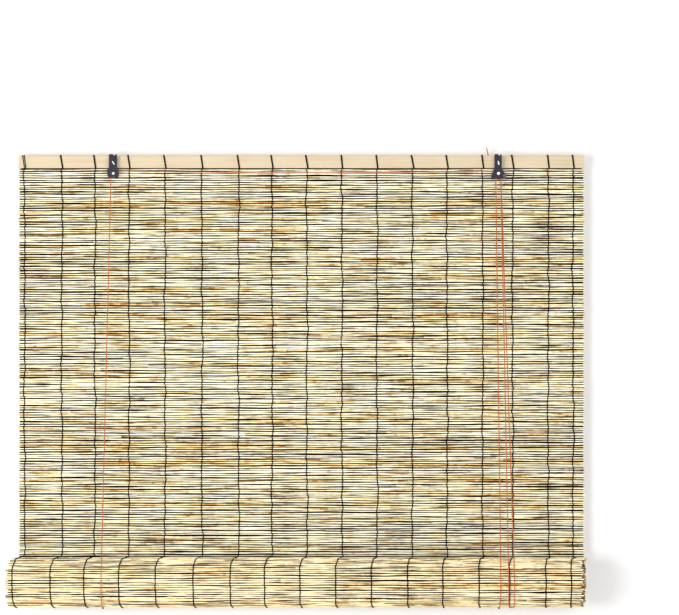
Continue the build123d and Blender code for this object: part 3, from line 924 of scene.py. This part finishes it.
def makeCord(name, node, body, route, weights=None):
    # three strands laid round the route's smooth line
    route = [Vector(p) for p in route]
    line = splinePoints(name, route, weights or [1.0] * len(route))
    store = Store()
    side = (line[1] - line[0]).orthogonal().normalized()
    travelled = [0.0]
    for a, b in zip(line, line[1:]):
        travelled.append(travelled[-1] + (b - a).length)
    sides = []
    for i in range(len(line)):
        ahead = (line[min(i + 1, len(line) - 1)] - line[max(i - 1, 0)]).normalized()
        side = (side - ahead * side.dot(ahead)).normalized()
        sides.append((side.copy(), ahead.cross(side)))
    for strand in range(cordShape["strands"]):
        path = []
        for point, (side, other), far in zip(line, sides, travelled):
            turn = 2 * math.pi * (strand / cordShape["strands"] + far / cordShape["lay"])
            path.append(point + (side * math.cos(turn) + other * math.sin(turn)) * cordShape["strandOffset"])
        tubeAlong(store, path, cordShape["strandRadius"], cordShape["sides"])
    piece = store.build(name, terracottaCord)
    if body:
        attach(piece, body)
    if node:
        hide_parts(node)
    return piece, line, travelled[-1]


def wheelExit(axle, side, groove):
    return Vector((axle.x + side * cordShape["wheelRadius"], groove, axle.z - cordShape["lead"]))


def rollTouch(x, groove, axle):
    # where a tight cord from a wheel first meets the roll, in front
    rise = axle.z - cordShape["lead"] - rollCentre.z
    reach = groove - rollCentre.y
    radius = cordShape["bightRadius"]
    angle = math.atan2(rise, reach) + math.acos(radius / math.hypot(rise, reach))
    return Vector((x, rollCentre.y + radius * math.cos(angle), rollCentre.z + radius * math.sin(angle)))


def furtherDown(start, touch, y=None, z=None):
    # the point on the same straight line at a given depth or height
    slope = (start.y - touch.y) / (start.z - touch.z)
    if z is None:
        z = touch.z + (y - touch.y) / slope
    return Vector((touch.x, touch.y + (z - touch.z) * slope, z))


def nearStart(start, end):
    return start + (end - start).normalized() * cordShape["nearPulley"]


groove = cordShape["groove"]
wheelRadius = cordShape["wheelRadius"]
leftExit = wheelExit(leftAxle, -1, groove)
rightExit = wheelExit(rightAxle, -1, -groove)
leftTouch = rollTouch(leftAxle.x - wheelRadius + cordShape["leftLean"], groove, leftAxle)
rightTouch = rollTouch(rightAxle.x - wheelRadius + cordShape["rightLean"], -groove, rightAxle)
pullExits = [wheelExit(rightAxle, 1, -groove), wheelExit(rightAxle, 1, groove)]
pullTouches = [
    rollTouch(rightAxle.x + wheelRadius + lean, start.y, rightAxle)
    for lean, start in zip(cordShape["pullLeans"], pullExits)
]
backY = railHigh.y + cordShape["backStand"]


def makeStraightCord(name, node, start, end):
    piece, line, length = makeCord(name, node, None, [start, nearStart(start, end), end])
    squashUp(piece)
    return piece, line, length


def makeBight(name, start, touch):
    # down the front of the roll, under it and up to its back
    radius = cordShape["bightRadius"]
    floor, back = rollCentre.z - radius, rollCentre.y + radius
    route = [
        touch,
        furtherDown(start, touch, z=floor),
        Vector((touch.x, back, floor)),
        Vector((touch.x, back, rollCentre.z)),
    ]
    return makeCord(name, None, "cord_bights", route, cordShape["bightHold"])[0]


def makeCords():
    top = leftAxle.z + wheelRadius
    low, high = leftAxle.x - wheelRadius, rightAxle.x + wheelRadius
    near = cordShape["nearPulley"]
    middle = Vector(((low + high) / 2, groove, top - cordShape["traverseSag"]))
    route = [
        leftExit, Vector((low, groove, top)), Vector((low + near, groove, top)), middle,
        Vector((high - near, groove, top)), Vector((high, groove, top)), pullExits[1],
    ]
    makeCord("traverseCord", "wheel_cords", "rail", route, cordShape["traverseHold"])
    route = [
        rightExit, Vector((rightExit.x, -groove, top)), Vector((pullExits[0].x, -groove, top)), pullExits[0],
    ]
    makeCord("rightCordWrap", None, "rail", route, cordShape["wrapHold"])
    makeStraightCord("leftLiftCord", "left_lift_cord", leftExit, leftTouch)
    makeStraightCord("rightLiftCord", "right_lift_cord", rightExit, rightTouch)
    leftBight = makeBight("leftBight", leftExit, leftTouch)
    makeBight("rightBight", rightExit, rightTouch)
    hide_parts("lift_cord_bights")
    for side, touch in (("left", leftTouch), ("right", rightTouch)):
        x = touch.x + cordShape[side + "EndLean"]
        foot = Vector((touch.x, rollCentre.y + cordShape["bightRadius"], rollCentre.z))
        head = Vector((x, backY, railLow.z))
        makeStraightCord(side + "BackCord", side + "_back_cord", head, foot)
        route = [Vector((x + across, backY, railLow.z + up)) for across, up in cordShape[side + "End"]]
        makeCord(side + "CordEnd", side + "_cord_end", "rail", route)


def makePullCord():
    names = (("leftPullStrand", "left_pull_strand"), ("rightPullStrand", "right_pull_strand"))
    total = 0.0
    for (name, node), start, touch in zip(names, pullExits, pullTouches):
        piece, line, length = makeStraightCord(name, node, start, touch)
        total += length
    front = rollCentre.y - cordShape["bightRadius"]
    floor = rollCentre.z - cordShape["loopDrop"]
    left, right = pullTouches
    near = right.x - left.x
    route = [
        left, furtherDown(pullExits[0], left, y=front), Vector((left.x, front, floor + near)),
        Vector((left.x, front, floor)), Vector((right.x, front, floor)),
        Vector((right.x, front, floor + near)), furtherDown(pullExits[1], right, y=front), right,
    ]
    piece, line, length = makeCord("pullLoop", "pull_loop", "cord_bights", route, cordShape["loopHold"])
    print("pull cord length", round(total + length, 3))


makeCords()
makePullCord()
print("cords laid")

# Finishes of the solids that stay as they are
solidFinishes = dict(
    head_rail=lathWood, bottom_rail=lathWood, left_bracket=slatePaint, right_bracket=slatePaint,
    bracket_screws=slottedScrew, axle_rivets=rivetSteel, cam_pin=camMetal, cord_staples=dullZinc,
    left_wheel=wheelPlastic, right_wheel=wheelPlastic, lock_cam=camMetal,
)


def dressSolids():
    for node, material in solidFinishes.items():
        piece = frame["nodes"][node]
        for slot in piece.material_slots:
            slot.link = "OBJECT"
            slot.material = material
    print("solids dressed", len(solidFinishes))


dressSolids()

# Stage, light and camera
stageLook = dict(
    wall=(0.80, 0.80, 0.80), wallLift=0.0, wallGap=0.014, wallReach=1.0,
    floor=(0.93, 0.93, 0.93), floorLift=0.5, floorDrop=0.30, floorReach=24,
    ambient=0.78, mirrored=0.5,  # how far reflections see the full white of the surroundings
)
lampLook = (
    # name, place, aim, size, power
    ("keyLamp", (-1.8, -2.7, -0.6), (0, 0, -0.4), 1.2, 58),
    ("fillLamp", (0.8, -3.2, -0.2), (0, 0, -0.4), 1.8, 26),
    ("backLamp", (0.6, 2.6, 0.8), (0, 0, -0.4), 2.0, 38),
)
viewLook = dict(
    photoWidth=679, axisPixel=(301.5, 380.0), centrePixel=(339.5, 307.5), railBottomPixel=168.3,
    metresPerPixel=0.00177, distance=4.3, sensor=36.0,
)


def makeStageMaterial(name, colour, cameraLift):
    # matt white, seen through from behind, and lifted a little for the camera
    material, tree, shader = newMaterial(name)
    link = tree.links.new
    setInputs(shader, Roughness=0.9, **{"Base Color": (*colour, 1), "Specular IOR Level": 0.0})
    output = tree.nodes["Material Output"]
    geometry = addNode(tree, "ShaderNodeNewGeometry", (300, 300))
    path = addNode(tree, "ShaderNodeLightPath", (100, 500))
    lift = math2(tree, "MULTIPLY", path.outputs["Is Camera Ray"], cameraLift, (300, 500))
    setInputs(shader, **{"Emission Color": (1, 1, 1, 1)})
    link(lift, shader.inputs["Emission Strength"])
    clear = addNode(tree, "ShaderNodeBsdfTransparent", (600, 250))
    either = addNode(tree, "ShaderNodeMixShader", (800, 150))
    link(geometry.outputs["Backfacing"], either.inputs[0])
    link(shader.outputs[0], either.inputs[1])
    link(clear.outputs[0], either.inputs[2])
    link(either.outputs[0], output.inputs["Surface"])
    return material


def makePlane(name, corners, material):
    mesh = bpy.data.meshes.new(name)
    mesh.from_pydata(corners, [], [(0, 1, 2, 3)])
    mesh.materials.append(material)
    plane = bpy.data.objects.new(name, mesh)
    scene.collection.objects.link(plane)
    return plane


def makeStage():
    look = stageLook
    # the wall is only as wide as the lamps keep white, and the white surroundings take over
    reach = look["wallReach"]
    y = cadBox[1].y + look["wallGap"]
    middle = (cadBox[0].z + cadBox[1].z) / 2
    low, high = middle - reach, middle + reach
    corners = [(-reach, y, low), (reach, y, low), (reach, y, high), (-reach, y, high)]
    wall = makePlane("wall", corners, makeStageMaterial("paleWall", look["wall"], look["wallLift"]))
    wall.visible_diffuse = False
    wall.visible_shadow = False
    wall.visible_glossy = False
    reach = look["floorReach"]
    z = cadBox[0].z - look["floorDrop"]
    corners = [(-reach, -reach, z), (reach, -reach, z), (reach, reach, z), (-reach, reach, z)]
    makePlane("floor", corners, makeStageMaterial("paleFloor", look["floor"], look["floorLift"]))


def makeLamps():
    for name, place, aim, size, power in lampLook:
        lamp = bpy.data.lights.new(name, "AREA")
        lamp.energy = power
        lamp.size = size
        holder = bpy.data.objects.new(name, lamp)
        holder.location = place
        holder.rotation_euler = (Vector(aim) - Vector(place)).to_track_quat("-Z", "Y").to_euler()
        scene.collection.objects.link(holder)
    world = bpy.data.worlds.new("studio")
    scene.world = world
    world.use_nodes = True
    tree = world.node_tree
    background = tree.nodes["Background"]
    background.inputs["Color"].default_value = (1, 1, 1, 1)
    path = addNode(tree, "ShaderNodeLightPath", (-600, 300))
    shine = math2(tree, "MULTIPLY", path.outputs["Is Glossy Ray"], stageLook["mirrored"], (-600, 100))
    seen = math2(tree, "ADD", path.outputs["Is Camera Ray"], shine, (-400, 300), True)
    strength = scaledValue(tree, seen, 1 - stageLook["ambient"], stageLook["ambient"], (-200, 200))
    tree.links.new(strength, background.inputs["Strength"])


def makeCamera():
    look = viewLook
    data = bpy.data.cameras.new("photoCamera")
    width = look["photoWidth"] * look["metresPerPixel"]
    data.sensor_width = look["sensor"]
    data.lens = look["sensor"] * look["distance"] / width
    data.shift_x = (look["centrePixel"][0] - look["axisPixel"][0]) / look["photoWidth"]
    data.shift_y = (look["axisPixel"][1] - look["centrePixel"][1]) / look["photoWidth"]
    camera = bpy.data.objects.new("photoCamera", data)
    z = railLow.z - (look["axisPixel"][1] - look["railBottomPixel"]) * look["metresPerPixel"]
    camera.location = (0, matY - look["distance"], z)
    camera.rotation_euler = (math.radians(90), 0, 0)
    scene.collection.objects.link(camera)
    scene.camera = camera


makeStage()
makeLamps()
makeCamera()
scene.view_settings.view_transform = "Standard"
print("stage, lamps and camera set")
